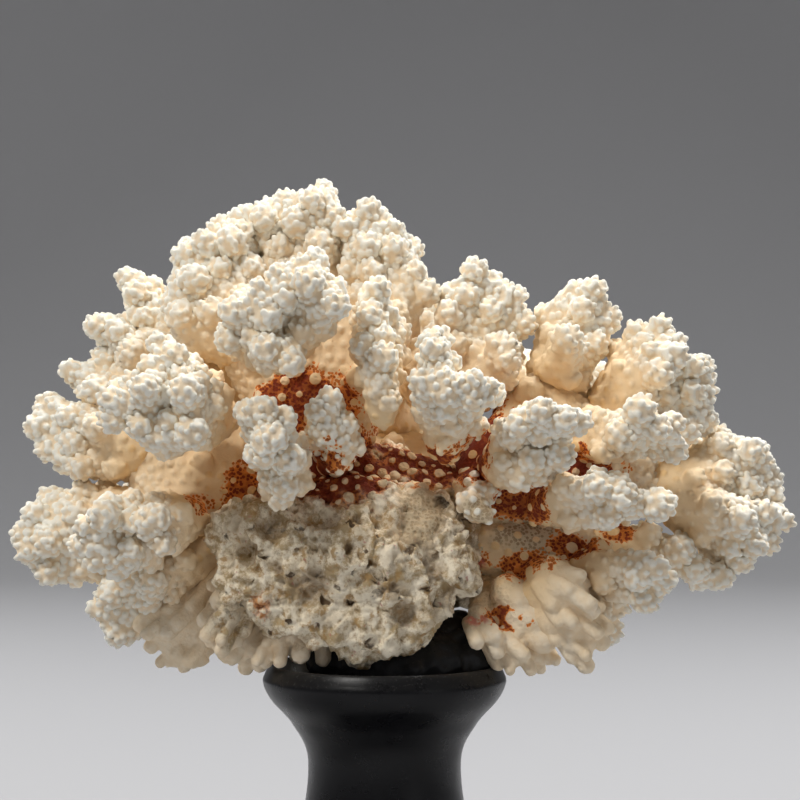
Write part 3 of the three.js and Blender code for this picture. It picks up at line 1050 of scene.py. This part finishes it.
class CORAL_OT_putty(bpy.types.Operator):
    """Wrinkle the putty in the dish"""
    bl_idname = "coral.putty"
    bl_label = "Putty"

    def execute(self, context):
        settings = context.scene.coral_stand
        mesh = soft_body("putty", voxel=0.9 * MM, smooth=3, swell=(0.5 * MM, 0.5 * MM), warp=1.0 * MM)
        points = arrays(mesh)[0]
        normals = point_normals(mesh)
        fold = 1 - np.abs(value_noise(points, 7 * MM, seed=61)) * 2
        fold += 0.5 * (1 - np.abs(value_noise(points, 3 * MM, seed=67)) * 2)
        points += normals * (fold * 0.8 * MM)[:, None]
        put_back(mesh, points)
        mesh.shade_smooth()
        mesh.materials.clear()
        mesh.materials.append(putty_material(settings))
        piece = new_object("putty_lump", mesh)
        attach(piece, BODY)
        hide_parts("putty")
        return {"FINISHED"}


# ---------------------------------------------------------------- stage

# Name, place, size in metres, power in watts and colour
LIGHTS = (
    ("key", (-0.7, -0.75, 1.35), 0.45, 13.5, (1.0, 0.98, 0.94)),
    ("top", (0.35, 0.15, 1.5), 0.45, 16, (1, 1, 1)),
    ("fill", (1.4, -1.3, 0.5), 1.0, 1.3, (1, 1, 1)),
    ("back_left", (-1.2, 0.9, 0.9), 0.5, 14, (1, 1, 1)),
    ("back_right", (1.3, 0.8, 0.9), 0.5, 14, (1, 1, 1)),
)
LIT_POINT = (0, 0, 0.16)
SKY_COLOUR = (0.6, 0.6, 0.62, 1)
SKY_STRENGTH = 0.04

# What the camera looks at, in millimetres
AIM = (4.7, 0, 170.5)
SENSOR_WIDTH = 36


def area_light(name, place, target, size, power, colour):
    lamp = bpy.data.lights.new(name, "AREA")
    lamp.shape = "DISK"
    lamp.size = size
    lamp.energy = power
    lamp.color = colour
    obj = new_object(name, lamp)
    obj.location = place
    obj.rotation_euler = (Vector(target) - Vector(place)).to_track_quat("-Z", "Y").to_euler()
    return obj


class CORAL_OT_stage(bpy.types.Operator):
    """Set the backdrop, the lights and the camera"""
    bl_idname = "coral.stage"
    bl_label = "Stage"

    def execute(self, context):
        settings = context.scene.coral_studio
        flat, radius, height = 1.6, 2.6, 2.4
        bend = radius - flat
        curve = [(flat + bend * math.sin(a), bend * (1 - math.cos(a)))
                 for a in np.linspace(0, math.pi / 2, 16)]
        profile = [(0, 0)] + curve + [(radius, height), (0, height + 0.01)]
        shell = new_object("backdrop", lathe("backdrop", profile, segments=96))
        for face in shell.data.polygons:
            face.flip()
        shell.data.materials.append(backdrop_material(settings))
        for name, place, size, power, colour in LIGHTS:
            area_light(name, place, LIT_POINT, size, power, colour)
        world = bpy.data.worlds.new("Studio")
        world.use_nodes = True
        sky = world.node_tree.nodes["Background"]
        sky.inputs["Color"].default_value = SKY_COLOUR
        sky.inputs["Strength"].default_value = SKY_STRENGTH
        context.scene.world = world
        lens = bpy.data.cameras.new("camera")
        lens.lens = settings.lens
        lens.sensor_width = SENSOR_WIDTH
        camera = new_object("camera", lens)
        aim = Vector(AIM) * MM
        tilt = settings.elevation
        camera.location = aim + Vector((0, -math.cos(tilt), math.sin(tilt))) * settings.distance
        camera.rotation_euler = (math.pi / 2 - tilt, 0, 0)
        context.scene.camera = camera
        context.scene.view_settings.view_transform = "Standard"
        return {"FINISHED"}


class CORAL_PT_panel(bpy.types.Panel):
    """Every step of the coral"""
    bl_idname = "CORAL_PT_panel"
    bl_label = "Coral"
    bl_space_type = "VIEW_3D"
    bl_region_type = "UI"
    bl_category = "Coral"

    def draw(self, context):
        for operator in OPERATORS:
            self.layout.operator(operator.bl_idname)
        for settings in (context.scene.coral, context.scene.coral_stand, context.scene.coral_studio):
            box = self.layout.box()
            for key in settings.__annotations__:
                box.prop(settings, key)


OPERATORS = (
    CORAL_OT_stage, CORAL_OT_stand, CORAL_OT_putty, CORAL_OT_stem, CORAL_OT_limbs, CORAL_OT_branches)
CLASSES = (CoralSettings, StandSettings, StudioSettings) + OPERATORS + (CORAL_PT_panel,)


def register():
    for cls in CLASSES:
        bpy.utils.register_class(cls)
    bpy.types.Scene.coral = bpy.props.PointerProperty(type=CoralSettings)
    bpy.types.Scene.coral_stand = bpy.props.PointerProperty(type=StandSettings)
    bpy.types.Scene.coral_studio = bpy.props.PointerProperty(type=StudioSettings)


def unregister():
    del bpy.types.Scene.coral_studio
    del bpy.types.Scene.coral_stand
    del bpy.types.Scene.coral
    for cls in reversed(CLASSES):
        bpy.utils.unregister_class(cls)


def main():
    register()
    for operator in OPERATORS:
        group, name = operator.bl_idname.split(".")
        getattr(getattr(bpy.ops, group), name)()


if __name__ == "__main__":
    main()
